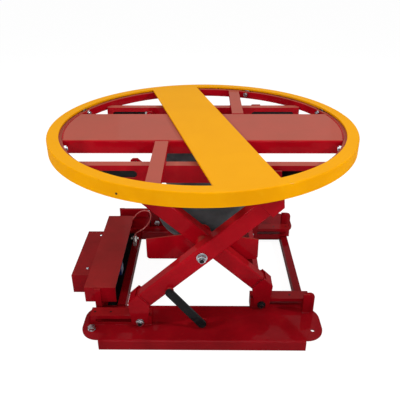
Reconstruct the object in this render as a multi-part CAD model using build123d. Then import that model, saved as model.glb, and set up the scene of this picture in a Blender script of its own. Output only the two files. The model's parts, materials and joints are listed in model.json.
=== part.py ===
from build123d import *
import math
import os

# Rotating scissor lift table, raised. Millimetres, +Z up, origin on the floor under the
# turntable's centre.
# Near is -Y and far is +Y. The outer arms rise from the left foot to the right top, the inner
# arms the other way. "past" is how far a cutting shape runs past what it cuts.

# Turntable
top_z = 670
turntable_r = 555
flange_inner_r = 514
sheet_t = 6
skirt_h = 48
turntable_edge_r = 4
bar_width = 200
bar_turn = 14.8
pivot_r = 15

# Platform
plate_top_z = 661
plate_half_y = 146
plate_t = 5
plate_bottom_z = 613
fold_r, fold_inner_r = 8, 3
ring_inner_r = 502
ring_t = 8
ring_z0, ring_z1 = 630, 659
beam_y0, beam_y1 = 284, 316
beam_z0, beam_z1 = 582, 642
beam_half_x = 404
cross_x = 138
cross_width, cross_wall = 45, 3
cross_z1 = 660
wall = 4

# Turntable support rollers
follower_r = 16
follower_z = 647.7
follower_y0, follower_y1 = 514, 534
follower_angles = (22.5, 67.5, 112.5, 157.5)
stud_r = 6
stud_nut_af, stud_nut_t = 19, 8
stud_head_r, stud_head_t = 9, 3

# Scissor: feet, centre pivot and top pivots in the XZ plane
foot_x, foot_z = 221, 60
top_pivot_z = 612
centre_z = (foot_z + top_pivot_z) / 2
arm_tilt = 42.5
arm_end = 284
arm_width, arm_height, arm_wall = 50, 62, 5
arm_corner_r, arm_inner_corner_r = 7, 2
outer_y, inner_y = 350, 250
bracket_t = 6
bracket_lap = 12
bore_gap = 0.05
axle_r = 8
axle_overhang = 12
axle_head_af, axle_head_t = 24, 7
nut_af, nut_t = 27, 8
shaft_r = 14
shaft_y0, shaft_y1 = 201, 376
collar_r, collar_t = 20, 7
thread_r, thread_length = 9, 23
centre_washer_r, centre_washer_t = 18.5, 4
centre_nut_t = 12
sleeve_r = 23
outer_sleeve_y0, outer_sleeve_y1 = 300.3, 376
inner_sleeve_y0, inner_sleeve_y1 = 216, 300
tie_s0, tie_s1, tie_height, tie_wall = 240, 270, 40, 3

# Rollers in the tracks
foot_roller_r, foot_roller_width = 13.7, 36
top_roller_r, top_roller_width = 25.7, 22
top_roller_side_gap = 0.5
roller_chamfer = 1

# Centring links
link_y0, link_y1 = 384, 392
link_width = 30
link_pad_y0, link_pad_y1 = 375, 383
pin_head_r, pin_head_t = 11, 4
pin_y0 = 375.3
lug_r = 18
lug_y0, lug_y1 = 374, 382
lug_arm_half, lug_arm_z0, lug_arm_z1 = 20, 625, 641

# Base
base_y0, base_y1 = 263, 454
base_top_z = 42
base_half_x = 361
ear_y0, ear_y1 = 271, 446
ear_half_x = 428
ear_r = 62
ear_lap = 20
anchor_x, anchor_y, anchor_r = 392, 397, 7
anchor_bolt_r, anchor_head_af, anchor_head_t = 6, 24, 9
anchor_washer_r, anchor_washer_t = 14, 2
base_tube_x0, base_tube_x1, base_tube_half_y, base_tube_wall = 362, 392, 340, 3
cover_tube_x0, cover_tube_x1, cover_tube_z0 = -322, -292, 6
track_x0, track_x1 = 180, 400
track_top_z = 82
track_width = 46
track_hole_r = 4
track_hole_insets = (14, 71)
rail_inset, rail_t = 39, 12
slot_x0, slot_x1, slot_h = 205, 382, 17
beam_slot_h = 24

# Corner posts, drawn at the far right
post_x0, post_x1 = 370, 393
post_y0, post_t = 300, 6
post_tall_z, post_short_z = 147, 125
post_plate_x0, post_plate_x1, post_plate_z, post_plate_r = 372, 412, 128, 18

# Air spring and its saddle
saddle_half_x = 205
saddle_y0, saddle_y1 = 209, 215
saddle_z0, saddle_end_z = 220, 304
saddle_corner_r, saddle_boss_r = 12, 30
seat_half_x = 118
seat_t = 6
bead_gap = 0.3
bag_bead_r = 112
bag_lobe_r, bag_lobe_z = 180, 308
bag_girdle_r, bag_girdle_z, bag_girdle_half = 128, 412, 10
bag_girdle_depth = 4
bag_high_r, bag_high_z = 165, 508
bag_wall = 8
bag_z0, bag_z1 = 234, 645

# Covers
cover_x0, cover_x1 = -430, -316
cover_y0, cover_y1 = -300, 226
cover_z0, cover_z1 = 86, 150
box_x0, box_y0, box_y1 = -512, -172, 156
box_z0, box_z1 = 28, 110
cover_t = 3
stay_x0, stay_x1, stay_t = -392, -362, 5
stay_ys = (-206, 150)
screw_r, screw_height = 6, 4
screw_seats = ((-449, 120), (-457, -127))

# Air supply under the cover
tank_centre = (-386, -30, 105)
tank_r, tank_length, tank_edge_r = 26, 300, 14
tee_x, tee_y, tee_z0, tee_height = -307, 148, 66, 22
tee_r, tee_stand_half = 8, 7
tee_port_z, tee_port_r, tee_port_length = 79, 5, 34
valve_x0, valve_x1 = -346, -318
valve_y0, valve_y1 = -150, -108
valve_z0, valve_z1 = 96, 132
knob_r, knob_height = 9, 12

tilt = math.radians(arm_tilt)
centre = (0, centre_z)
link_pin = (-foot_x / 2, (foot_z + centre_z) / 2)
link_base = (0, foot_z)
beam_y = (beam_y0 + beam_y1) / 2
past = 1

os.makedirs("parts", exist_ok=True)


def save(name, *solids):
    shape = solids[0] if len(solids) == 1 else Compound(children=list(solids))
    export_step(shape, f"parts/{name}.step")


def along_y(sketch, y0, y1):
    """Extrudes a sketch of the XZ plane from y0 to y1."""
    return extrude(Plane((0, y1, 0), x_dir=(1, 0, 0), z_dir=(0, -1, 0)) * sketch, amount=y1 - y0)


def along_x(sketch, x0, x1):
    """Extrudes a sketch of the YZ plane from x0 to x1."""
    return extrude(Plane((x0, 0, 0), x_dir=(0, 1, 0), z_dir=(1, 0, 0)) * sketch, amount=x1 - x0)


def along_z(sketch, z0, z1):
    """Extrudes a sketch of the XY plane from z0 to z1."""
    return extrude(Plane.XY.offset(z0) * sketch, amount=z1 - z0)


def rectangle(u0, u1, v0, v1):
    return Pos((u0 + u1) / 2, (v0 + v1) / 2) * Rectangle(u1 - u0, v1 - v0)


def block(x0, x1, y0, y1, z0, z1):
    return along_z(rectangle(x0, x1, y0, y1), z0, z1)


def rod(point, radius, y0, y1):
    """A round bar along Y through a point of the XZ plane."""
    return along_y(Pos(*point) * Circle(radius), y0, y1)


def disc(x, y, radius, z0, z1):
    """A round bar along Z."""
    return along_z(Pos(x, y) * Circle(radius), z0, z1)


def hex_head(point, across_flats, y0, y1):
    return along_y(Pos(*point) * RegularPolygon(across_flats / 2, 6, major_radius=False), y0, y1)


def flip_y(solid):
    return mirror(solid, about=Plane.XZ)


def flip_x(solid):
    return mirror(solid, about=Plane.YZ)


def half_turn(solid):
    """Turns a lower end piece of an arm into the upper end piece."""
    return Pos(0, 0, centre_z) * Rot(0, 180, 0) * Pos(0, 0, -centre_z) * solid


def arm_point(s, n):
    """A point of the outer arm: s along it from the centre pivot, n square to it."""
    return (s * math.cos(tilt) - n * math.sin(tilt), centre_z + s * math.sin(tilt) + n * math.cos(tilt))


def foot_point(dx, dz):
    return (-foot_x + dx, foot_z + dz)


# Base

def base_plate():
    """The near plate: a channel folded down at both sides, with a rounded ear at each end."""
    outer = rectangle(-base_y1, -base_y0, 0, base_top_z)
    outer = fillet(outer.vertices().group_by(Axis.Y)[-1], fold_r)
    inner = rectangle(-base_y1 + sheet_t, -base_y0 - sheet_t, -past, base_top_z - sheet_t)
    inner = fillet(inner.vertices().group_by(Axis.Y)[-1], fold_inner_r)
    channel = along_x(outer - inner, -base_half_x, base_half_x)
    ear_depth = ear_y1 - ear_y0
    ears = RectangleRounded(2 * ear_half_x, ear_depth, ear_r)
    ears -= Rectangle(2 * (base_half_x - ear_lap), 2 * ear_depth)
    ears = Pos(0, -(ear_y0 + ear_y1) / 2) * ears
    for side in (-1, 1):
        ears -= Pos(side * anchor_x, -anchor_y) * Circle(anchor_r)
    return channel + along_z(ears, base_top_z - sheet_t, base_top_z)


def tube_y(x0, x1, z0, z1, half_y, thickness):
    """A box tube along Y."""
    outside = rectangle(x0, x1, z0, z1)
    inside = rectangle(x0 + thickness, x1 - thickness, z0 + thickness, z1 - thickness)
    return along_y(outside - inside, -half_y, half_y)


def track(y, with_rail):
    """A roller track, drawn at the left: a box slotted through both sides, closed at its inner end."""
    y0, y1 = y - track_width / 2, y + track_width / 2
    body = block(-track_x1, -track_x0, y0, y1, base_top_z, track_top_z)
    body -= block(
        -track_x1 - past, -track_x0 - wall, y0 + wall, y1 - wall, base_top_z + wall, track_top_z - wall
    )
    slot = Pos(-(slot_x0 + slot_x1) / 2, foot_z) * SlotOverall(slot_x1 - slot_x0, slot_h)
    body -= along_y(slot, y0 - past, y1 + past)
    for inset in track_hole_insets:
        body -= Pos(-track_x1 + inset, y, track_top_z) * Cylinder(track_hole_r, 4 * wall)
    if with_rail:
        body += block(-track_x1 + rail_inset, -track_x0, y0, base_y0, base_top_z - rail_t, base_top_z)
    return body


def post(with_plate):
    """A stand on the base's corner, drawn at the far right."""
    top = post_short_z if with_plate else post_tall_z
    strip = block(post_x0, post_x1, post_y0, post_y0 + post_t, base_top_z, top)
    if not with_plate:
        return strip
    plate = rectangle(post_plate_x0, post_plate_x1, base_top_z, post_plate_z)
    plate = fillet(plate.vertices().group_by(Axis.Y)[-1], post_plate_r)
    return strip + along_y(plate, post_y0 - post_t, post_y0)


def link_clevis():
    """The near side's lug that carries the lower link's pin."""
    lug = rectangle(-lug_r, lug_r, base_top_z, foot_z) + Pos(*link_base) * Circle(lug_r)
    lug -= Pos(*link_base) * Circle(axle_r + bore_gap)
    return along_y(lug, -lug_y1, -lug_y0)


def open_box(x0, x1, y0, y1, z0, z1, open_right):
    """A folded sheet cover, open below, and on its right side as well if asked."""
    body = block(x0, x1, y0, y1, z0, z1)
    right = x1 + past if open_right else x1 - cover_t
    return body - block(x0 + cover_t, right, y0 + cover_t, y1 - cover_t, z0 - past, z1 - cover_t)


def cover_stays():
    """Upright strips from the base's left tube to the cover's roof."""
    return [
        block(stay_x0, stay_x1, y, y + stay_t, base_top_z - sheet_t, cover_z1 - cover_t)
        for y in stay_ys
    ]


def anchor_bolt():
    """The floor bolt in the near left ear, with its washer."""
    x, y = -anchor_x, -anchor_y
    seat = base_top_z + anchor_washer_t
    head = Pos(x, y, seat) * extrude(RegularPolygon(anchor_head_af / 2, 6, major_radius=False), anchor_head_t)
    plate = disc(x, y, anchor_washer_r, base_top_z, seat)
    shank = disc(x, y, anchor_bolt_r, 1, base_top_z)
    return head + plate + shank


def screws():
    return [disc(x, y, screw_r, box_z1, box_z1 + screw_height) for x, y in screw_seats]


def air_tank():
    tank = Pos(*tank_centre) * Rot(90, 0, 0) * Cylinder(tank_r, tank_length)
    return fillet(tank.edges(), tank_edge_r)


def fittings():
    """The tee fitting on a small stand on the cover's tube."""
    half = tee_stand_half
    stand = block(tee_x - half, tee_x + half, tee_y - half, tee_y + half, base_top_z, tee_z0)
    body = disc(tee_x, tee_y, tee_r, tee_z0, tee_z0 + tee_height)
    port = Pos(tee_x, tee_y, tee_port_z) * Rot(0, 90, 0) * Cylinder(tee_port_r, tee_port_length)
    return stand + body + port


def valve():
    body = block(valve_x0, valve_x1, valve_y0, valve_y1, valve_z0, valve_z1)
    x, y = (valve_x0 + valve_x1) / 2, (valve_y0 + valve_y1) / 2
    return body + disc(x, y, knob_r, valve_z1, valve_z1 + knob_height)


# Scissor arms, drawn at the near left

def arm_tube(y, sleeve_y0, sleeve_y1):
    """A box tube with the centre pivot's sleeve welded through it."""
    axis = Plane(
        (0, y, centre_z), x_dir=(0, 1, 0), z_dir=(math.cos(tilt), 0, math.sin(tilt))
    )
    section = RectangleRounded(arm_width, arm_height, arm_corner_r)
    section -= RectangleRounded(
        arm_width - 2 * arm_wall, arm_height - 2 * arm_wall, arm_inner_corner_r
    )
    body = extrude(axis * section, amount=arm_end, both=True)
    body -= rod(centre, sleeve_r, y - arm_width, y + arm_width)
    sleeve = rod(centre, sleeve_r, sleeve_y0, sleeve_y1)
    return body + sleeve - rod(centre, shaft_r + bore_gap, sleeve_y0 - past, sleeve_y1 + past)


def bracket_outline(slim):
    """One plate's outline. The slim one keeps clear of the valve cover's edge when the table is down."""
    lap = -arm_end + bracket_lap
    start = [arm_point(lap, -24), arm_point(lap, 36)]
    wide = [arm_point(-320, 34), foot_point(-29, -15)]
    narrow = [arm_point(-arm_end, 33), foot_point(-10, 18)]
    narrow += [foot_point(-17, 8), foot_point(-17, -8), foot_point(-9, -15)]
    end = [foot_point(6, -15), foot_point(28, 4.2)]
    outline = make_face(Polyline(*start, *(narrow if slim else wide), *end, close=True))
    return outline - Pos(*foot_point(0, 0)) * Circle(axle_r + bore_gap)


def bracket(y, slim=False):
    """A pair of plates on the tube's sides, joined by a web that carries on the tube's wall."""
    inside = arm_width / 2
    plates = [
        along_y(bracket_outline(slim), y - inside - bracket_t, y - inside),
        along_y(bracket_outline(slim), y + inside, y + inside + bracket_t),
    ]
    straight = [(-arm_end, 36), (-318, 34.5), (-318, 29), (-arm_end, 30)]
    sloping = [(-arm_end, 33), (-300.7, 14.4), (-297, 11.1), (-arm_end, 25.5)]
    corners = [arm_point(s, n) for s, n in (sloping if slim else straight)]
    web = along_y(make_face(Polyline(*corners, close=True)), y - inside, y + inside)
    return plates[0] + web + plates[1]


def foot_axle(y):
    """A bolt through both plates, its head inside and its end left long for a nut outside."""
    reach = arm_width / 2 + bracket_t
    shank = rod(foot_point(0, 0), axle_r, y - reach - axle_overhang, y + reach)
    return shank + hex_head(foot_point(0, 0), axle_head_af, y + reach, y + reach + axle_head_t)


def top_axle(y):
    """The near bolt from an arm's bracket into the beam, drawn at the foot of the arm at y."""
    reach = arm_width / 2 + bracket_t
    if y > beam_y:
        y0, y1 = -y - reach, -beam_y0 - wall - past
        head_y = y0 - axle_head_t
    else:
        y0, y1 = -beam_y1 + wall + past, -y + reach
        head_y = y1
    head = hex_head(foot_point(0, 0), axle_head_af, head_y, head_y + axle_head_t)
    return rod(foot_point(0, 0), axle_r, y0, y1) + head


def nut(point, hole_r, y0, y1):
    return hex_head(point, nut_af, y0, y1) - rod(point, hole_r, y0 - past, y1 + past)


def washer(point, radius, hole_r, y0, y1):
    return rod(point, radius, y0, y1) - rod(point, hole_r, y0 - past, y1 + past)


def centre_shaft():
    """The near centre pivot: a shaft with an inner collar and a smaller threaded end."""
    shaft = rod(centre, shaft_r, -shaft_y1, -shaft_y0)
    collar = rod(centre, collar_r, -shaft_y0 - collar_t, -shaft_y0)
    return shaft + collar + rod(centre, thread_r, -shaft_y1 - thread_length, -shaft_y1)


def inner_cross_tube():
    """A box tube between the inner arms near their feet, its walls along and square to the arms."""
    along = Plane((0, 0, centre_z), x_dir=(0, 1, 0), z_dir=(math.cos(tilt), 0, -math.sin(tilt)))
    half_y = inner_y - arm_width / 2
    outside = extrude(along * Pos(0, 0, tie_s0) * Rectangle(2 * half_y, tie_height), tie_s1 - tie_s0)
    opening = Rectangle(2 * (half_y + past), tie_height - 2 * tie_wall)
    inside = along * Pos(0, 0, tie_s0 + tie_wall) * opening
    return outside - extrude(inside, tie_s1 - tie_s0 - 2 * tie_wall)


def roller(point, radius, width, y):
    body = rod(point, radius, y - width / 2, y + width / 2)
    body = chamfer(body.edges(), roller_chamfer)
    return body - rod(point, axle_r + bore_gap, y - width, y + width)


# Saddle and air spring

def saddle():
    """Two side plates hung on the centre pivots, with a folded seat between them for the bag."""
    side = rectangle(-saddle_half_x, saddle_half_x, saddle_z0, saddle_end_z)
    side = fillet(side.vertices().group_by(Axis.Y)[0], saddle_corner_r)
    crown = make_face(
        Polyline(
            (-saddle_half_x, saddle_end_z), (saddle_half_x, saddle_end_z), (0, centre_z - 2), close=True
        )
    )
    side = side + crown + Pos(*centre) * Circle(saddle_boss_r)
    side -= Pos(*centre) * Circle(shaft_r + bore_gap)
    seat_top = saddle_z0 + seat_t
    seat = block(-seat_half_x, seat_half_x, -saddle_y0, saddle_y0, saddle_z0, seat_top)
    for x in (-seat_half_x, seat_half_x - seat_t):
        seat += block(x, x + seat_t, -saddle_y0, saddle_y0, seat_top, bag_z0 - bead_gap)
    near = along_y(side, -saddle_y1, -saddle_y0)
    return near + seat + flip_y(near)


def bag_line(inset):
    """The bag's outline from its lower bead to its upper one: a lobe, a girdle and a smaller lobe."""
    def at(radius, z):
        return (radius - inset, z)

    waist_low, waist_high = bag_girdle_z - bag_girdle_half, bag_girdle_z + bag_girdle_half
    waist_r = bag_girdle_r - bag_girdle_depth
    low = ThreePointArc(at(bag_bead_r, bag_z0), at(bag_lobe_r, bag_lobe_z), at(bag_girdle_r, waist_low))
    girdle = ThreePointArc(
        at(bag_girdle_r, waist_low), at(waist_r, bag_girdle_z), at(bag_girdle_r, waist_high)
    )
    high = ThreePointArc(at(bag_girdle_r, waist_high), at(bag_high_r, bag_high_z), at(bag_bead_r, bag_z1))
    return low + girdle + high


def air_bag():
    """A rubber wall with two lobes, turned about Z and closed by the bead plates."""
    ends = [Line((bag_bead_r, z), (bag_bead_r - bag_wall, z)) for z in (bag_z0, bag_z1)]
    lines = [*bag_line(0).edges(), *bag_line(bag_wall).edges(), *[end.edge() for end in ends]]
    return revolve(Plane.XZ * make_face(lines), Axis.Z)


# Platform

def wide_plate():
    """The platform's plate: a wide channel, its ends cut round to the ring, with the pivot's bore."""
    outside = rectangle(-plate_half_y, plate_half_y, plate_bottom_z, plate_top_z)
    outside = fillet(outside.vertices().group_by(Axis.Y)[-1], fold_r)
    half_inside = plate_half_y - plate_t
    inside = rectangle(-half_inside, half_inside, plate_bottom_z - past, plate_top_z - plate_t)
    inside = fillet(inside.vertices().group_by(Axis.Y)[-1], fold_inner_r)
    body = along_x(outside - inside, -ring_inner_r, ring_inner_r)
    body = body & disc(0, 0, ring_inner_r, plate_bottom_z, plate_top_z + past)
    return body - disc(0, 0, pivot_r + bore_gap, plate_top_z - 2 * plate_t, plate_top_z + past)


def beam():
    """The far beam: a box tube, coped round the rolled ring, with the top rollers' slots."""
    outside = rectangle(-beam_half_x, beam_half_x, beam_z0, beam_z1)
    body = along_y(outside, beam_y0, beam_y1)
    reach = beam_half_x + past
    inner = rectangle(-reach, reach, beam_z0 + wall, beam_z1 - wall)
    body -= along_y(inner, beam_y0 + wall, beam_y1 - wall)
    for side in (-1, 1):
        slot = Pos(side * (slot_x0 + slot_x1) / 2, top_pivot_z) * SlotOverall(slot_x1 - slot_x0, beam_slot_h)
        body -= along_y(slot, beam_y0 - past, beam_y1 + past)
    cope = Circle(2 * beam_half_x) - Circle(ring_inner_r)
    return body - along_z(cope, ring_z0, beam_z1 + past)


def cross_tube(x, y_sign):
    """A flat tube from the wide plate's flange over a beam to the ring."""
    z0, half, inside_half = beam_z1, cross_width / 2, cross_width / 2 - cross_wall
    outside = rectangle(x - half, x + half, z0, cross_z1)
    inside = rectangle(x - inside_half, x + inside_half, z0 + cross_wall, cross_z1 - cross_wall)
    y0, y1 = sorted((y_sign * plate_half_y, y_sign * ring_inner_r))
    body = along_y(outside - inside, y0, y1)
    return body & disc(0, 0, ring_inner_r, z0 - past, cross_z1 + past)


def rolled_ring():
    """The strip rolled on edge, bored for the support rollers' studs."""
    section = Circle(ring_inner_r + ring_t) - Circle(ring_inner_r)
    body = along_z(section, ring_z0, ring_z1)
    for angle in follower_angles:
        for turn in (angle, angle + 180):
            bore = radial(stud_r + bore_gap, ring_inner_r - ring_t, ring_inner_r + 2 * ring_t)
            body -= Rot(0, 0, turn) * bore
    return body


def radial(radius, x0, x1):
    """A round bar along X at the height of the support rollers."""
    return Pos((x0 + x1) / 2, 0, follower_z) * Rot(0, 90, 0) * Cylinder(radius, x1 - x0)


def follower_stud():
    """A stud through the ring with its nut inside and a thin head outside the roller."""
    nut_x = ring_inner_r - stud_nut_t - 0.2
    inner_nut = Pos(nut_x, 0, follower_z) * Rot(0, 90, 0) * extrude(
        RegularPolygon(stud_nut_af / 2, 6, major_radius=False), stud_nut_t
    )
    head_x = follower_y1 + 1
    stud = radial(stud_r, ring_inner_r - 12, head_x)
    return stud + inner_nut + radial(stud_head_r, head_x, head_x + stud_head_t)


def follower():
    body = chamfer(radial(follower_r, follower_y0, follower_y1).edges(), roller_chamfer)
    return body - radial(stud_r + bore_gap, follower_y0 - past, follower_y1 + past)


def upper_lug():
    """The far side's upper link bracket, from the far beam out to the link."""
    half = lug_arm_half
    arm = block(-half, half, beam_y1, lug_y0, lug_arm_z0, lug_arm_z1)
    plate = rectangle(-half, half, top_pivot_z, lug_arm_z1) + Pos(0, top_pivot_z) * Circle(lug_r)
    plate -= Pos(0, top_pivot_z) * Circle(axle_r + bore_gap)
    return arm + along_y(plate, lug_y0, lug_y1)


# Turntable

def turntable_ring():
    """The flat ring, its outer edge rounded over the skirt."""
    body = disc(0, 0, turntable_r, top_z - sheet_t, top_z)
    body = fillet(body.edges().sort_by(Axis.Z)[-1], turntable_edge_r)
    return body - disc(0, 0, flange_inner_r, top_z - sheet_t - past, top_z + past)


def turntable_skirt():
    """The rolled strip welded on edge under the ring."""
    strip = Circle(turntable_r) - Circle(turntable_r - sheet_t)
    return along_z(strip, top_z - skirt_h, top_z - sheet_t)


def turntable_bar():
    """The bar across the ring, with the pivot that turns in the wide plate."""
    outline = Rot(0, 0, bar_turn) * Rectangle(bar_width, 3 * turntable_r) & Circle(flange_inner_r)
    bar = along_z(outline, top_z - sheet_t, top_z)
    return bar + disc(0, 0, pivot_r, plate_top_z - plate_t + 0.4, top_z - sheet_t + 0.4)


def link(pin, y0, y1):
    """A centring link from the base's lug to a pin on the arm."""
    run = (pin[0] - link_base[0], pin[1] - link_base[1])
    length = math.hypot(*run)
    middle = (link_base[0] + run[0] / 2, link_base[1] + run[1] / 2)
    angle = math.degrees(math.atan2(run[1], run[0]))
    body = along_y(Pos(*middle) * Rot(0, 0, angle) * SlotCenterToCenter(length, link_width), y0, y1)
    for hole in (pin, link_base):
        body -= rod(hole, axle_r + bore_gap, y0 - past, y1 + past)
    return body


def link_pins(pin):
    """The near link's pins: heads outside the link, shanks in the arm's pad and the base's lug."""
    upper = rod(pin, axle_r, -link_y1, -pin_y0) + rod(pin, pin_head_r, -link_y1 - pin_head_t, -link_y1)
    lower = rod(link_base, axle_r, -link_y1, -368)
    lower += rod(link_base, pin_head_r, -link_y1 - pin_head_t, -link_y1)
    return upper, lower + rod(link_base, pin_head_r, -373.5, -368)


def link_pad():
    """The boss on the arm's face that carries the link's upper pin."""
    pad = rod(link_pin, link_width / 2 - 1, -link_pad_y1, -link_pad_y0)
    return pad - rod(link_pin, axle_r + bore_gap, -link_pad_y1 - past, -link_pad_y0 + past)


base_near = base_plate()
save("base_plate_near", base_near)
save("base_plate_far", flip_y(base_near))
base_tube = tube_y(
    base_tube_x0, base_tube_x1, 0, base_top_z - sheet_t, base_tube_half_y, base_tube_wall
)
save("base_tube_right", base_tube)
save("base_tube_left", flip_x(base_tube))
save("base_tube_cover", tube_y(
    cover_tube_x0, cover_tube_x1, cover_tube_z0, base_top_z, base_y0, base_tube_wall
))
for name, y, right in (("outer", outer_y, False), ("inner", inner_y, True)):
    shape = track(y, right)
    shape = flip_x(shape) if right else shape
    save(f"{name}_track_far", shape)
    save(f"{name}_track_near", flip_y(shape))
far_posts = [post(True), flip_x(post(False))]
save("posts", *far_posts, *[flip_y(far_post) for far_post in far_posts])
save("link_clevis", link_clevis())
save("valve_cover", open_box(cover_x0, cover_x1, cover_y0, cover_y1, cover_z0, cover_z1, True))
save("side_box", open_box(box_x0, cover_x0, box_y0, box_y1, box_z0, box_z1, False))
save("cover_stays", *cover_stays())
save("box_screws", *screws())
save("anchor_bolt", anchor_bolt())
save("air_tank", air_tank())
save("air_fittings", fittings())
save("air_valve", valve())

save("guide_link", link(link_pin, -link_y1, -link_y0))
save("guide_link_pins", *link_pins(link_pin))
save("upper_guide_link", flip_y(half_turn(link(link_pin, -link_y1, -link_y0))))
save("upper_link_pins", *[flip_y(half_turn(pin)) for pin in link_pins(link_pin)])

near_outer = arm_tube(-outer_y, -outer_sleeve_y1, -outer_sleeve_y0)
far_outer = flip_y(near_outer)
save("outer_arm_near", near_outer + link_pad())
save("outer_arm_far", far_outer + flip_y(half_turn(link_pad())))
near_inner = flip_x(arm_tube(-inner_y, -inner_sleeve_y1, -inner_sleeve_y0))
save("inner_arm_near", near_inner)
save("inner_arm_far", flip_y(near_inner))

for name, y in (("outer", outer_y), ("inner", inner_y)):
    pieces = [bracket(-y), bracket(-y, slim=name == "inner"), foot_axle(-y), top_axle(y)]
    if name == "inner":
        pieces = [flip_x(piece) for piece in pieces]
    foot, top, low_axle, high_axle = pieces
    save(f"{name}_foot_brackets", foot, flip_y(foot))
    top, high_axle = half_turn(top), half_turn(high_axle)
    save(f"{name}_top_brackets", top, flip_y(top))
    save(f"{name}_axles", low_axle, flip_y(low_axle), high_axle, flip_y(high_axle))

bracket_reach = arm_width / 2 + bracket_t
foot_nut = nut(
    foot_point(0, 0), axle_r, -outer_y - bracket_reach - nut_t, -outer_y - bracket_reach
)
inner_nut = flip_x(nut(
    foot_point(0, 0), axle_r, -inner_y - bracket_reach - nut_t, -inner_y - bracket_reach
))
washer_y = -shaft_y1 - centre_washer_t
centre_washer = washer(centre, centre_washer_r, thread_r, washer_y, -shaft_y1)
centre_nut = nut(centre, thread_r, washer_y - centre_nut_t, washer_y)
near_nuts = (foot_nut, centre_washer, centre_nut)
save("outer_nuts", *[part for near in near_nuts for part in (near, flip_y(near))])
save("inner_nuts", inner_nut, flip_y(inner_nut))
shaft = centre_shaft()
save("centre_shafts", shaft, flip_y(shaft))
save("inner_cross_tube", inner_cross_tube())

for name, point, radius, width, y in (
    ("outer_foot", (-foot_x, foot_z), foot_roller_r, foot_roller_width, outer_y),
    ("inner_foot", (foot_x, foot_z), foot_roller_r, foot_roller_width, inner_y),
    ("outer_top", (foot_x, top_pivot_z), top_roller_r, top_roller_width, beam_y + top_roller_side_gap),
    ("inner_top", (-foot_x, top_pivot_z), top_roller_r, top_roller_width, beam_y - top_roller_side_gap),
):
    far_roller = roller(point, radius, width, y)
    save(f"{name}_rollers", far_roller, flip_y(far_roller))

save("saddle_frame", saddle())
save("air_bag", air_bag())
save("bag_plate_lower", disc(0, 0, bag_bead_r, saddle_z0 + seat_t, bag_z0))
save("bag_plate_upper", disc(0, 0, bag_bead_r, bag_z1, plate_top_z - plate_t))

save("wide_plate", wide_plate())
save("beam_far", beam())
save("beam_near", flip_y(beam()))
save("cross_tube_near", cross_tube(-cross_x, -1))
save("cross_tube_far", cross_tube(cross_x, 1))
save("rolled_ring", rolled_ring())
save("upper_lug", upper_lug())
turns = [angle + turn for turn in (0, 180) for angle in follower_angles]
save("follower_studs", *[Rot(0, 0, turn) * follower_stud() for turn in turns])
for number, angle in enumerate(follower_angles, start=1):
    pair = [Rot(0, 0, angle + turn) * follower() for turn in (0, 180)]
    save(f"support_rollers_{number}", *pair)

save("turntable_ring", turntable_ring())
save("turntable_skirt", turntable_skirt())
save("turntable_bar", turntable_bar())
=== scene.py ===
import bmesh
import bpy
import json
import math
from mathutils import Matrix, Vector


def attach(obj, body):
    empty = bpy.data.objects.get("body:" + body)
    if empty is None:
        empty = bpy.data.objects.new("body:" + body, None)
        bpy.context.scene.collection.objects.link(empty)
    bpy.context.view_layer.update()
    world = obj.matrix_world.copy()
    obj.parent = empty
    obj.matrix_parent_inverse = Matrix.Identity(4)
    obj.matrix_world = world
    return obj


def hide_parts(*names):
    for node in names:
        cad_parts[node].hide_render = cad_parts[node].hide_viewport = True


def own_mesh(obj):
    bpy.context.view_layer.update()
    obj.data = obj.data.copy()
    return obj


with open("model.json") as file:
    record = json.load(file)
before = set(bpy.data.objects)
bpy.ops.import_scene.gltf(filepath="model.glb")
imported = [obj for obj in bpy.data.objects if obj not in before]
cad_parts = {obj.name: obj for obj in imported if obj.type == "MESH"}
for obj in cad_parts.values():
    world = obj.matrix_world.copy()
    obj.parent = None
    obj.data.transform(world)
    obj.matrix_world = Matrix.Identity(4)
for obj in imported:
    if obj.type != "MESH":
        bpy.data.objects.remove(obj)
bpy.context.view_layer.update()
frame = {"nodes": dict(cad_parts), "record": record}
nodes = frame["nodes"]

# Places and sizes in metres, as in the model
FOOT_X, FOOT_Z = 0.221, 0.060
CENTRE_Z = 0.336
TILT = math.radians(42.5)
OUTER_Y, INNER_Y = 0.350, 0.250
BASE_TOP = 0.0425
PLATE_TOP = 0.6605
BAG_Z0, BAG_Z1 = 0.234, 0.645
BAG_WAIST_Z0, BAG_WAIST_Z1 = 0.402, 0.422
BAG_WAIST_R = 0.128
NECK_SLIMMER = 0.011
NUT_FLATS = 0.027
MERGE = 0.00001


def add_camera():
    """The camera at the photograph's viewpoint."""
    place = Vector((0.0119, -1.7285, 1.2690))
    yaw, pitch, roll = -0.0129, 0.4873, 0.0038
    forward = Vector((
        math.sin(yaw) * math.cos(pitch),
        math.cos(yaw) * math.cos(pitch),
        -math.sin(pitch),
    ))
    level = Vector((math.cos(yaw), -math.sin(yaw), 0))
    down = forward.cross(level)
    right = math.cos(roll) * level + math.sin(roll) * down
    up = math.sin(roll) * level - math.cos(roll) * down
    data = bpy.data.cameras.new("camera")
    data.sensor_width = 36
    data.lens = 44.34
    data.clip_start = 0.05
    data.clip_end = 50
    camera = bpy.data.objects.new("camera", data)
    bpy.context.scene.collection.objects.link(camera)
    turn = Matrix((right, up, -forward)).transposed().to_4x4()
    camera.matrix_world = Matrix.Translation(place) @ turn
    bpy.context.scene.camera = camera


def link(tree, source, target):
    """Joins two sockets of a node tree."""
    tree.links.new(source, target)


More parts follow.
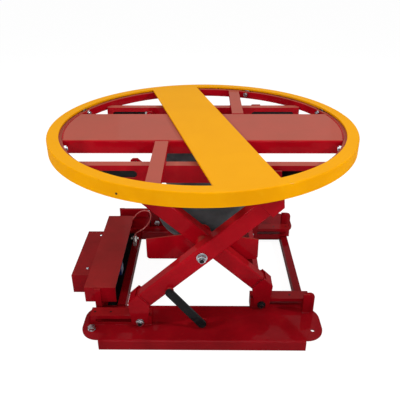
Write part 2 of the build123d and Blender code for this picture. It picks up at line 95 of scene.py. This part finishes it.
def new_group(name, colours):
    """A finish's node group: colours in, and colour, roughness and normal out."""
    group = bpy.data.node_groups.new(name, "ShaderNodeTree")
    for label in colours:
        group.interface.new_socket(name=label, in_out="INPUT", socket_type="NodeSocketColor")
    for label, kind in (("Colour", "Color"), ("Roughness", "Float"), ("Normal", "Vector")):
        group.interface.new_socket(name=label, in_out="OUTPUT", socket_type=f"NodeSocket{kind}")
    start = group.nodes.new("NodeGroupInput")
    end = group.nodes.new("NodeGroupOutput")
    place = group.nodes.new("ShaderNodeTexCoord").outputs["Object"]
    return group, start, end, place


def noise(tree, coordinates, scale, detail=3.0, distortion=0.0):
    """How strong a cloudy pattern is at each point."""
    node = tree.nodes.new("ShaderNodeTexNoise")
    node.inputs["Scale"].default_value = scale
    node.inputs["Detail"].default_value = detail
    node.inputs["Distortion"].default_value = distortion
    link(tree, coordinates, node.inputs["Vector"])
    return node.outputs["Fac"]


def remap(tree, value, low, high, to_low, to_high):
    """The value moved from one range to another, and held inside it."""
    node = tree.nodes.new("ShaderNodeMapRange")
    for label, number in (
        ("From Min", low), ("From Max", high), ("To Min", to_low), ("To Max", to_high)
    ):
        node.inputs[label].default_value = number
    link(tree, value, node.inputs["Value"])
    return node.outputs["Result"]


def mix_colours(tree, factor, first, second):
    """A blend of two colours, each one a socket or a plain value."""
    node = tree.nodes.new("ShaderNodeMix")
    node.data_type = "RGBA"
    for socket, value in ((node.inputs[6], first), (node.inputs[7], second)):
        if isinstance(value, tuple):
            socket.default_value = value
        else:
            link(tree, value, socket)
    link(tree, factor, node.inputs[0])
    return node.outputs[2]


def height_of(tree, vector):
    """The Z of a vector."""
    node = tree.nodes.new("ShaderNodeSeparateXYZ")
    link(tree, vector, node.inputs["Vector"])
    return node.outputs["Z"]


def roughen(tree, height, strength, distance, end):
    """Fine relief in the finish's normal."""
    bump = tree.nodes.new("ShaderNodeBump")
    bump.inputs["Strength"].default_value = strength
    bump.inputs["Distance"].default_value = distance
    link(tree, height, bump.inputs["Height"])
    link(tree, bump.outputs["Normal"], end.inputs["Normal"])


def paint_group():
    """Sprayed paint: cloudy shade, dust, a painted sheen on level faces that grows with height,
    painted shade that darkens it towards the floor, orange peel.
    """
    group, start, end, place = new_group("paint_surface", ("Base", "Shade", "Dust", "Painted sheen"))
    cloud = remap(group, noise(group, place, 7.0, 4.0, 0.6), 0.35, 0.68, 0, 1)
    colour = mix_colours(group, cloud, start.outputs["Base"], start.outputs["Shade"])
    dust = remap(group, noise(group, place, 34.0, 6.0, 0.3), 0.56, 0.8, 0, 0.35)
    colour = mix_colours(group, dust, colour, start.outputs["Dust"])
    height = height_of(group, place)
    # Painted shade: below 0.30 m the colour darkens towards near black, standing in for the shade that
    # falls on the low parts.
    painted_shade = remap(group, height, 0.04, 0.30, 0.40, 0)
    colour = mix_colours(group, painted_shade, colour, (0.004, 0.002, 0.002, 1))
    normal = group.nodes.new("ShaderNodeNewGeometry").outputs["Normal"]
    # Painted sheen: level, upward faces take the lighter, paler last colour, more so higher up,
    # standing in for the light their tops reflect.
    level = remap(group, height_of(group, normal), 0.7, 0.98, 0, 1)
    painted_sheen = group.nodes.new("ShaderNodeMath")
    painted_sheen.operation = "MULTIPLY"
    link(group, level, painted_sheen.inputs[0])
    link(group, remap(group, height, 0.04, 0.66, 0.0, 0.68), painted_sheen.inputs[1])
    colour = mix_colours(group, painted_sheen.outputs["Value"], colour, start.outputs["Painted sheen"])
    link(group, colour, end.inputs["Colour"])
    gloss = remap(group, noise(group, place, 19.0, 4.0), 0.3, 0.7, 0.24, 0.38)
    link(group, gloss, end.inputs["Roughness"])
    roughen(group, noise(group, place, 420.0, 2.0), 0.12, 0.0006, end)
    return group


def metal_group():
    """Plated or turned steel: fine haze in colour and gloss."""
    group, start, end, place = new_group("metal_surface", ("Base", "Shade"))
    haze = remap(group, noise(group, place, 60.0, 5.0), 0.35, 0.7, 0, 1)
    colour = mix_colours(group, haze, start.outputs["Base"], start.outputs["Shade"])
    link(group, colour, end.inputs["Colour"])
    gloss = remap(group, noise(group, place, 140.0, 3.0), 0.3, 0.7, 0.16, 0.36)
    link(group, gloss, end.inputs["Roughness"])
    roughen(group, noise(group, place, 900.0, 2.0), 0.15, 0.0003, end)
    return group


def rubber_group():
    """Cord-reinforced rubber: crossed fine ribs and a greyish bloom."""
    group, start, end, place = new_group("rubber_surface", ("Base", "Shade"))
    bloom = remap(group, noise(group, place, 16.0, 5.0, 0.4), 0.35, 0.7, 0, 1)
    colour = mix_colours(group, bloom, start.outputs["Base"], start.outputs["Shade"])
    link(group, colour, end.inputs["Colour"])
    gloss = remap(group, noise(group, place, 45.0, 3.0), 0.3, 0.7, 0.5, 0.72)
    link(group, gloss, end.inputs["Roughness"])
    wave = group.nodes.new("ShaderNodeTexWave")
    wave.wave_type = "BANDS"
    wave.bands_direction = "DIAGONAL"
    wave.inputs["Scale"].default_value = 60
    wave.inputs["Distortion"].default_value = 0.6
    link(group, place, wave.inputs["Vector"])
    roughen(group, wave.outputs["Fac"], 0.3, 0.0006, end)
    return group


def surface(name, group, colours, metallic=0.0, coat=0.0, specular=0.5):
    """A material whose colour, roughness and normal come from one of the groups."""
    material = bpy.data.materials.new(name)
    material.use_nodes = True
    tree = material.node_tree
    shader = tree.nodes["Principled BSDF"]
    finish = tree.nodes.new("ShaderNodeGroup")
    finish.node_tree = group
    for label, value in colours.items():
        finish.inputs[label].default_value = (*value, 1)
    link(tree, finish.outputs["Colour"], shader.inputs["Base Color"])
    link(tree, finish.outputs["Roughness"], shader.inputs["Roughness"])
    link(tree, finish.outputs["Normal"], shader.inputs["Normal"])
    shader.inputs["Metallic"].default_value = metallic
    shader.inputs["Coat Weight"].default_value = coat
    shader.inputs["Coat Roughness"].default_value = 0.07
    shader.inputs["Specular IOR Level"].default_value = specular
    return material


def make_materials():
    """Every finish of the table, by name."""
    paint, metal, rubber = paint_group(), metal_group(), rubber_group()
    # The last colour of each paint finish is a painted sheen for its level, upward faces.
    red = {
        "Base": (0.42, 0.003, 0.010), "Shade": (0.31, 0.002, 0.007),
        "Dust": (0.44, 0.015, 0.015), "Painted sheen": (0.41, 0.130, 0.088),
    }
    weld = {
        "Base": (0.40, 0.004, 0.012), "Shade": (0.28, 0.003, 0.008),
        "Dust": (0.46, 0.03, 0.03), "Painted sheen": (0.42, 0.10, 0.08),
    }
    yellow = {
        "Base": (0.88, 0.37, 0.001), "Shade": (0.82, 0.33, 0.001),
        "Dust": (0.88, 0.42, 0.01), "Painted sheen": (0.80, 0.36, 0.012),
    }
    black = {
        "Base": (0.008, 0.008, 0.009), "Shade": (0.014, 0.014, 0.015),
        "Dust": (0.05, 0.05, 0.05), "Painted sheen": (0.05, 0.045, 0.045),
    }
    hose = {
        "Base": (0.62, 0.06, 0.05), "Shade": (0.55, 0.05, 0.04),
        "Dust": (0.6, 0.12, 0.1), "Painted sheen": (0.7, 0.2, 0.17),
    }
    blue = {
        "Base": (0.008, 0.03, 0.16), "Shade": (0.005, 0.02, 0.10),
        "Dust": (0.03, 0.04, 0.10), "Painted sheen": (0.03, 0.04, 0.10),
    }
    zinc = {"Base": (0.50, 0.52, 0.54), "Shade": (0.22, 0.23, 0.25)}
    steel = {"Base": (0.36, 0.36, 0.36), "Shade": (0.18, 0.18, 0.19)}
    nickel = {"Base": (0.62, 0.60, 0.58), "Shade": (0.42, 0.40, 0.39)}
    bag = {"Base": (0.020, 0.023, 0.027), "Shade": (0.045, 0.050, 0.057)}
    return {
        "red_paint": surface("red_paint", paint, red, coat=0.09, specular=0.0),
        "weld_paint": surface("weld_paint", paint, weld, coat=0.1, specular=0.0),
        "yellow_paint": surface("yellow_paint", paint, yellow, coat=0.04, specular=0.0),
        "black_steel": surface("black_steel", paint, black, coat=0.1, specular=0.02),
        "valve_blue": surface("valve_blue", paint, blue, specular=0.05),
        "hose_red": surface("hose_red", paint, hose, specular=0.4),
        "zinc": surface("zinc", metal, zinc, metallic=1.0),
        "roller_steel": surface("roller_steel", metal, steel, metallic=1.0),
        "fitting_nickel": surface("fitting_nickel", metal, nickel, metallic=0.6),
        "bag_rubber": surface("bag_rubber", rubber, bag),
    }


def object_from(mesh, name, body, material, smooth=True):
    """A piece from a finished mesh, which rides on a body."""
    data = bpy.data.meshes.new(name)
    mesh.normal_update()
    mesh.to_mesh(data)
    mesh.free()
    data.materials.append(material)
    if smooth:
        data.shade_smooth()
    piece = bpy.data.objects.new(name, data)
    bpy.context.scene.collection.objects.link(piece)
    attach(piece, body)
    return piece


def black_piece(mesh, name, body, materials):
    """A piece of plain black steel."""
    object_from(mesh, name, body, materials["black_steel"], smooth=False)


def turned(mesh, outline, matrix, steps=32):
    """Spins an outline of (radius, height) points about the matrix's Z axis."""
    verts = [mesh.verts.new(matrix @ Vector((radius, 0, height))) for radius, height in outline]
    edges = [mesh.edges.new(pair) for pair in zip(verts, verts[1:])]
    axis = matrix.to_3x3() @ Vector((0, 0, 1))
    bmesh.ops.spin(
        mesh, geom=verts + edges, cent=matrix.translation, axis=axis,
        angle=math.tau, steps=steps, use_merge=True,
    )
    bmesh.ops.remove_doubles(mesh, verts=mesh.verts, dist=MERGE)


def facing(place, direction):
    """A matrix at a place whose Z axis points along the direction."""
    turn = Vector(direction).to_track_quat("Z", "Y").to_matrix().to_4x4()
    return Matrix.Translation(place) @ turn


def hexagon(mesh, matrix, across_flats, height):
    """A hexagon nut's body with its outer corners bevelled."""
    corner = across_flats / math.sqrt(3)
    made = bmesh.ops.create_cone(
        mesh, cap_ends=True, segments=6, radius1=corner, radius2=corner, depth=height,
        matrix=matrix @ Matrix.Translation((0, 0, height / 2)),
    )
    faces = {face for vert in made["verts"] for face in vert.link_faces}
    top = max(faces, key=lambda face: (matrix.inverted() @ face.calc_center_median()).z)
    bmesh.ops.bevel(
        mesh, geom=list(top.edges), offset=0.0022, segments=3, affect="EDGES", profile=0.5, material=-1
    )


def thread(mesh, matrix, radius, start, end, pitch=0.0018):
    """A bolt's threaded end: rings with a bevelled tip."""
    root = 0.9
    outline = []
    height = start
    while height < end - pitch:
        outline += [(radius, height), (radius * root, height + pitch / 2)]
        height += pitch
    outline += [(radius, end - pitch), (radius * 0.8, end), (0, end)]
    turned(mesh, outline, matrix, 24)


def bead(mesh, start, end, radius=0.0035, pitch=0.004):
    """A straight weld: a row of overlapping ripples."""
    run = Vector(end) - Vector(start)
    count = max(2, int(run.length / pitch))
    turn = run.to_track_quat("X", "Z").to_matrix().to_4x4()
    for number in range(count + 1):
        place = Vector(start) + run * (number / count)
        swell = radius * (1 + 0.12 * math.sin(2.7 * number) + 0.06 * math.sin(7.1 * number))
        bmesh.ops.create_uvsphere(
            mesh, u_segments=8, v_segments=6, radius=swell, matrix=Matrix.Translation(place) @ turn
        )


def arm_point(s, n, y, outer=True, top=False):
    """A point of an arm: s along it from the centre, n square to it."""
    x = s * math.cos(TILT) - n * math.sin(TILT)
    z = s * math.sin(TILT) + n * math.cos(TILT)
    if top:
        x, z = -x, -z
    return Vector((x if outer else -x, y, CENTRE_Z + z))


def dress_nuts(materials):
    """Bevelled nuts, washers and threaded ends for the plain ones of the scissor."""
    washer = [(0.0085, 0), (0.0155, 0), (0.0155, 0.0012), (0.0085, 0.0012)]
    wide_washer = [(0.009, 0), (0.0185, 0), (0.0185, 0.0033), (0.0175, 0.004), (0.009, 0.004)]
    for body, outer, y in (("outer_arms", True, 0.381), ("inner_arms", False, 0.281)):
        mesh = bmesh.new()
        ends = bmesh.new()
        for side in (-1, 1):
            foot = Vector((-FOOT_X if outer else FOOT_X, side * y, FOOT_Z))
            place = facing(foot, (0, side, 0))
            turned(mesh, washer, place, 32)
            hexagon(mesh, place @ Matrix.Translation((0, 0, 0.001)), NUT_FLATS, 0.007)
            thread(ends, place, 0.0084, 0.006, 0.0125)
            if outer:
                centre = facing((0, side * 0.376, CENTRE_Z), (0, side, 0))
                turned(mesh, wide_washer, centre, 40)
                hexagon(mesh, centre @ Matrix.Translation((0, 0, 0.004)), NUT_FLATS, 0.012)
                thread(ends, centre, 0.0093, 0.014, 0.0236)
        finish = "zinc" if outer else "black_steel"
        piece = object_from(mesh, f"{body}_nuts_dressed", body, materials[finish], smooth=False)
        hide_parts("outer_nuts" if outer else "inner_nuts")
        black_piece(ends, f"{body}_bolt_ends", body, materials)


def dress_bag(materials):
    """The air bag's two lobes and waist, with fine moulded ribs."""
    inset, rib, rib_turns = 0.0012, 0.0006, 900
    outline = []
    steps = 90
    for number in range(steps + 1):
        part = number / steps
        z = BAG_Z0 + (BAG_Z1 - BAG_Z0) * part
        outline.append((bag_radius(z) - inset + rib * math.sin(z * rib_turns), z))
    mesh = bmesh.new()
    turned(mesh, outline, Matrix.Identity(4), 96)
    bag = object_from(mesh, "air_bag_dressed", "saddle", materials["bag_rubber"])
    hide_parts("air_bag")
    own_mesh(bag)


def bag_radius(z):
    """The bag's radius at a height: arcs through the same points as the solid's.

    The neck is slimmer, so that the folded bag passes between the wide plate's flanges.
    """
    low = ((0.112, BAG_Z0), (0.180, 0.308), (BAG_WAIST_R, BAG_WAIST_Z0))
    high = ((BAG_WAIST_R, BAG_WAIST_Z1), (0.165, 0.508), (0.112, BAG_Z1))
    waist_z, waist_r = 0.412, 0.124
    if BAG_WAIST_Z0 <= z <= BAG_WAIST_Z1:
        return waist_r + 0.004 * ((z - waist_z) / 0.010) ** 2
    (x1, y1), (x2, y2), (x3, y3) = low if z < waist_z else high
    twice = 2 * (x1 * (y2 - y3) + x2 * (y3 - y1) + x3 * (y1 - y2))
    cx = (x1**2 + y1**2) * (y2 - y3) + (x2**2 + y2**2) * (y3 - y1) + (x3**2 + y3**2) * (y1 - y2)
    cy = (x1**2 + y1**2) * (x3 - x2) + (x2**2 + y2**2) * (x1 - x3) + (x3**2 + y3**2) * (x2 - x1)
    cx, cy = cx / twice, cy / twice
    radius = math.hypot(x1 - cx, y1 - cy)
    rise = min(max((z - 0.535) / 0.040, 0), 1)
    fall = min(max((BAG_Z1 - z) / 0.045, 0), 1)
    return cx + math.sqrt(max(0, radius**2 - (z - cy) ** 2)) - NECK_SLIMMER * (rise * fall)


def weld_scissor(materials):
    """Weld beads where the brackets meet the arms' tubes."""
    tube_end, tube_side = -0.2708, 0.0262
    for body, outer, middle in (("outer_arms", True, OUTER_Y), ("inner_arms", False, INNER_Y)):
        mesh = bmesh.new()
        for side in (-1, 1):
            for top in (False, True):
                for face in (-1, 1):
                    y = side * middle + face * tube_side
                    low = arm_point(tube_end, -0.023, y, outer, top)
                    high = arm_point(tube_end, 0.029, y, outer, top)
                    bead(mesh, low, high, 0.003)
        object_from(mesh, f"{body}_welds", body, materials["weld_paint"])


def weld_base(materials):
    """Weld beads along the tracks, the link's lug and the posts."""
    track_side, base_inner_y, bead_length = 0.0235, 0.264, 0.045
    mesh = bmesh.new()
    for side in (-1, 1):
        for x0, middle in ((-0.398, OUTER_Y), (0.182, INNER_Y)):
            for face in (-1, 1):
                y = side * middle + face * track_side
                if abs(y) < base_inner_y:
                    continue
                for start in (0.0, 0.085, 0.17):
                    x = x0 + start
                    bead(mesh, (x, y, BASE_TOP), (x + bead_length, y, BASE_TOP), 0.003)
        for x, width in ((0.372, 0.020), (-0.392, 0.021)):
            y = side * 0.3065
            bead(mesh, (x, y, BASE_TOP), (x + width, y, BASE_TOP), 0.003)
    bead(mesh, (-0.017, -0.3825, BASE_TOP), (0.017, -0.3825, BASE_TOP), 0.003)
    object_from(mesh, "base_welds", "base", materials["weld_paint"])


def weld_platform(materials):
    """Weld beads where plate, beams and cross tubes meet each other and the ring."""
    ring_r, cross_tube_x, beam_top = 0.5005, 0.138, 0.6425
    mesh = bmesh.new()
    for side in (-1, 1):
        for number in range(12):
            first = math.radians(-15.5 + number * 2.65)
            last = first + math.radians(2.0)
            points = [
                (side * ring_r * math.cos(a), ring_r * math.sin(a), PLATE_TOP) for a in (first, last)
            ]
            bead(mesh, points[0], points[1], 0.0026)
        x = side * cross_tube_x
        for edge in (-0.0225, 0.0225):
            bead(mesh, (x + edge, side * 0.286, beam_top), (x + edge, side * 0.314, beam_top), 0.0028)
        bead(mesh, (x - 0.021, side * 0.1465, 0.6595), (x + 0.021, side * 0.1465, 0.6595), 0.0028)
    object_from(mesh, "platform_welds", "platform", materials["weld_paint"])


def dress_screws(materials):
    """Round screw heads with a cross on top, on the side box."""
    head = [(0.0062, 0), (0.0060, 0.0014), (0.0050, 0.0028), (0.0030, 0.0038), (0, 0.0041)]
    bar = Matrix.Translation((0, 0, 0.0036)) @ Matrix.Diagonal((0.0062, 0.0013, 0.0010, 1))
    mesh = bmesh.new()
    for x, y in ((-0.449, 0.120), (-0.457, -0.127)):
        place = Matrix.Translation((x, y, 0.110))
        turned(mesh, head, place, 28)
        for turn in (20, 110):
            rotation = Matrix.Rotation(math.radians(turn), 4, "Z")
            bmesh.ops.create_cube(mesh, size=1, matrix=place @ rotation @ bar)
    piece = object_from(mesh, "box_screws_dressed", "base", materials["zinc"])
    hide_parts("box_screws")


def rounded_box(mesh, low, high, radius):
    """A box between two corners with bevelled edges."""
    size = Vector(high) - Vector(low)
    middle = (Vector(high) + Vector(low)) / 2
    made = bmesh.ops.create_cube(
        mesh, size=1, matrix=Matrix.Translation(middle) @ Matrix.Diagonal((*size, 1))
    )
    edges = list({edge for vert in made["verts"] for edge in vert.link_edges})
    bmesh.ops.bevel(
        mesh, geom=edges, offset=radius, segments=3, affect="EDGES", profile=0.5, material=-1
    )


def add_far_stop(materials):
    """The folded stop plate at the far left corner, behind the cover."""
    mesh = bmesh.new()
    rounded_box(mesh, (-0.384, 0.290, 0.106), (-0.256, 0.308, 0.147), 0.005)
    rounded_box(mesh, (-0.384, 0.300, 0.0415), (-0.256, 0.308, 0.110), 0.001)
    object_from(mesh, "far_stop", "base", materials["red_paint"], smooth=False)


def add_cover_shade_sheet(materials):
    """A black sheet under the valve cover: painted shade, seen through its open side."""
    mesh = bmesh.new()
    rounded_box(mesh, (-0.4305, -0.200, 0.028), (-0.3215, 0.264, 0.033), 0.001)
    rounded_box(mesh, (-0.400, -0.264, 0.028), (-0.3215, -0.199, 0.033), 0.001)
    black_piece(mesh, "cover_shade_sheet", "base", materials)


def add_ring_lips(materials):
    """Lips that close the gap between the rolled ring and the flange, between the support rollers."""
    mesh = bmesh.new()
    section = [(0.5096, 0.6555), (0.5180, 0.6555), (0.5180, 0.6590), (0.5096, 0.6590)]
    first_roller, room, spacing = 22.5, 2.6, 45
    for number in range(8):
        turn = Matrix.Rotation(math.radians(first_roller + room + spacing * number), 4, "Z")
        verts = [mesh.verts.new(turn @ Vector((radius, 0, height))) for radius, height in section]
        face = mesh.faces.new(verts)
        bmesh.ops.spin(
            mesh, geom=[*verts, *face.edges, face], cent=(0, 0, 0), axis=(0, 0, 1),
            angle=math.radians(spacing - 2 * room), steps=24,
        )
    bmesh.ops.remove_doubles(mesh, verts=mesh.verts, dist=MERGE)
    bmesh.ops.holes_fill(mesh, edges=[edge for edge in mesh.edges if edge.is_boundary], sides=4)
    bmesh.ops.recalc_face_normals(mesh, faces=mesh.faces)
    object_from(mesh, "ring_lips", "platform", materials["red_paint"], smooth=False)


def add_beam_shade_sheets(materials):
    """Dark strips inside the beams, behind the slots that no axle passes through: painted shade that
    keeps those slots dark inside.
    """
    half = 0.0004
    mesh = bmesh.new()
    for side in (-1, 1):
        for x0, x1, y in ((-0.394, -0.193, 0.3115), (0.193, 0.394, 0.2885)):
            y0, y1 = side * y - half, side * y + half
            rounded_box(mesh, (x0, y0, 0.5860), (x1, y1, 0.6380), half / 2)
    black_piece(mesh, "beam_shade_sheets", "platform", materials)


def add_hole_shades(materials):
    """Dark plugs of painted shade: in the skirt's small hole, the wide plate's slot and the tracks'
    round holes, standing in for the shade inside them.
    """
    angle = math.radians(244.5)
    outward = Vector((math.cos(angle), math.sin(angle), 0))
    place = facing(outward * 0.5549 + Vector((0, 0, 0.638)), outward)
    mesh = bmesh.new()
    turned(mesh, [(0, 0.0004), (0.0036, 0.0004), (0.0036, 0)], place, 20)
    black_piece(mesh, "skirt_hole_shade", "turntable", materials)
    mesh = bmesh.new()
    rounded_box(mesh, (-0.087, -0.046, PLATE_TOP), (-0.070, -0.040, 0.6615), 0.0004)
    black_piece(mesh, "plate_slot_shade", "platform", materials)
    mesh = bmesh.new()
    for side in (-1, 1):
        for x, y in ((-0.386, OUTER_Y), (-0.329, OUTER_Y), (0.386, INNER_Y), (0.329, INNER_Y)):
            place = Matrix.Translation((x, side * y, 0.0815))
            turned(mesh, [(0.0041, -0.003), (0.0041, 0.0002), (0, 0.0005)], place, 16)
    black_piece(mesh, "track_hole_shades", "base", materials)


def add_air_line(materials):
    """The thin red air line that arches from the tee to the tank's end under the cover."""
    route = [
        (-0.307, 0.148, 0.086), (-0.306, 0.149, 0.100), (-0.290, 0.152, 0.112), (-0.268, 0.156, 0.122),
        (-0.248, 0.160, 0.140), (-0.234, 0.164, 0.165), (-0.230, 0.176, 0.190), (-0.246, 0.192, 0.196),
        (-0.270, 0.203, 0.190), (-0.294, 0.209, 0.176), (-0.314, 0.210, 0.150), (-0.334, 0.206, 0.124),
        (-0.362, 0.184, 0.108), (-0.384, 0.150, 0.105), (-0.386, 0.118, 0.105),
    ]
    line_r = 0.0025
    data = bpy.data.curves.new("air_line", "CURVE")
    data.dimensions = "3D"
    data.bevel_depth = line_r
    data.bevel_resolution = 5
    data.resolution_u = 12
    spline = data.splines.new("NURBS")
    spline.points.add(len(route) - 1)
    for point, place in zip(spline.points, route):
        point.co = (*place, 1)
    spline.order_u = 3
    spline.use_endpoint_u = True
    data.materials.append(materials["hose_red"])
    line = bpy.data.objects.new("air_line", data)
    bpy.context.scene.collection.objects.link(line)
    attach(line, "base")


def background_rays(tree):
    """One for rays from the camera, a gloss or a clear part, which all see the white background."""
    path = tree.nodes.new("ShaderNodeLightPath")
    total = path.outputs["Is Camera Ray"]
    for label in ("Is Glossy Ray", "Is Transmission Ray"):
        larger = tree.nodes.new("ShaderNodeMath")
        larger.operation = "MAXIMUM"
        link(tree, total, larger.inputs[0])
        link(tree, path.outputs[label], larger.inputs[1])
        total = larger.outputs["Value"]
    return total


def plain_node(tree, kind, grey):
    """A shader node of one plain grey."""
    node = tree.nodes.new(kind)
    node.inputs["Color"].default_value = (grey, grey, grey, 1)
    return node


def add_floor():
    """A white floor that shows a faint shadow."""
    mesh = bmesh.new()
    bmesh.ops.create_grid(mesh, x_segments=1, y_segments=1, size=12)
    data = bpy.data.meshes.new("floor")
    mesh.to_mesh(data)
    mesh.free()
    floor = bpy.data.objects.new("floor", data)
    bpy.context.scene.collection.objects.link(floor)
    floor.location.z = -0.001
    material = bpy.data.materials.new("floor")
    material.use_nodes = True
    tree = material.node_tree
    shader = tree.nodes["Principled BSDF"]
    shader.inputs["Base Color"].default_value = (0.75, 0.75, 0.75, 1)
    shader.inputs["Roughness"].default_value = 0.9
    glow = plain_node(tree, "ShaderNodeEmission", 0.94)
    faint = plain_node(tree, "ShaderNodeBsdfDiffuse", 0.18)
    seen = tree.nodes.new("ShaderNodeAddShader")
    link(tree, glow.outputs["Emission"], seen.inputs[0])
    link(tree, faint.outputs["BSDF"], seen.inputs[1])
    blend = tree.nodes.new("ShaderNodeMixShader")
    link(tree, background_rays(tree), blend.inputs[0])
    link(tree, shader.outputs["BSDF"], blend.inputs[1])
    link(tree, seen.outputs["Shader"], blend.inputs[2])
    link(tree, blend.outputs["Shader"], tree.nodes["Material Output"].inputs["Surface"])
    data.materials.append(material)


def add_world():
    """Even white light from all round, and a white background."""
    world = bpy.data.worlds.new("world")
    world.use_nodes = True
    bpy.context.scene.world = world
    sky = world.node_tree
    back = sky.nodes["Background"]
    back.inputs["Color"].default_value = (1, 1, 1, 1)
    back.inputs["Strength"].default_value = 0.24
    white = plain_node(sky, "ShaderNodeBackground", 1)
    choose = sky.nodes.new("ShaderNodeMixShader")
    link(sky, background_rays(sky), choose.inputs[0])
    link(sky, back.outputs["Background"], choose.inputs[1])
    link(sky, white.outputs["Background"], choose.inputs[2])
    link(sky, choose.outputs["Shader"], sky.nodes["World Output"].inputs["Surface"])


def add_lamps():
    """Soft light from above, the front and behind, and small lamps at both sides."""
    aim = Vector((0, 0, 0.35))
    for name, place, size, power in (
        ("overhead", (0.2, 0.2, 3.0), 2.2, 26),
        ("front", (0.0, -3.2, 1.9), 2.0, 40),
        ("left_side", (-2.7, -1.0, 2.2), 0.2, 36),
        ("right_side", (2.7, -1.0, 2.2), 0.2, 42),
        ("behind", (0.2, 3.4, 2.3), 2.4, 10),
    ):
        lamp = bpy.data.lights.new(name, "AREA")
        lamp.shape = "SQUARE"
        lamp.size = size
        lamp.energy = power
        item = bpy.data.objects.new(name, lamp)
        bpy.context.scene.collection.objects.link(item)
        item.matrix_world = facing(place, Vector(place) - aim)


def assign_materials(materials):
    """Gives each CAD node the material of its slot."""
    for part in frame["record"]["subparts"]:
        node = nodes[part["node"]]
        for slot in node.material_slots:
            slot.material = materials[part["material_slot"]]


add_camera()
materials = make_materials()
add_air_line(materials)
assign_materials(materials)
dress_nuts(materials)
dress_bag(materials)
dress_screws(materials)
weld_scissor(materials)
weld_base(materials)
weld_platform(materials)
add_far_stop(materials)
add_cover_shade_sheet(materials)
add_ring_lips(materials)
add_beam_shade_sheets(materials)
add_hole_shades(materials)
add_floor()
add_world()
add_lamps()
bpy.context.scene.view_settings.view_transform = "Standard"
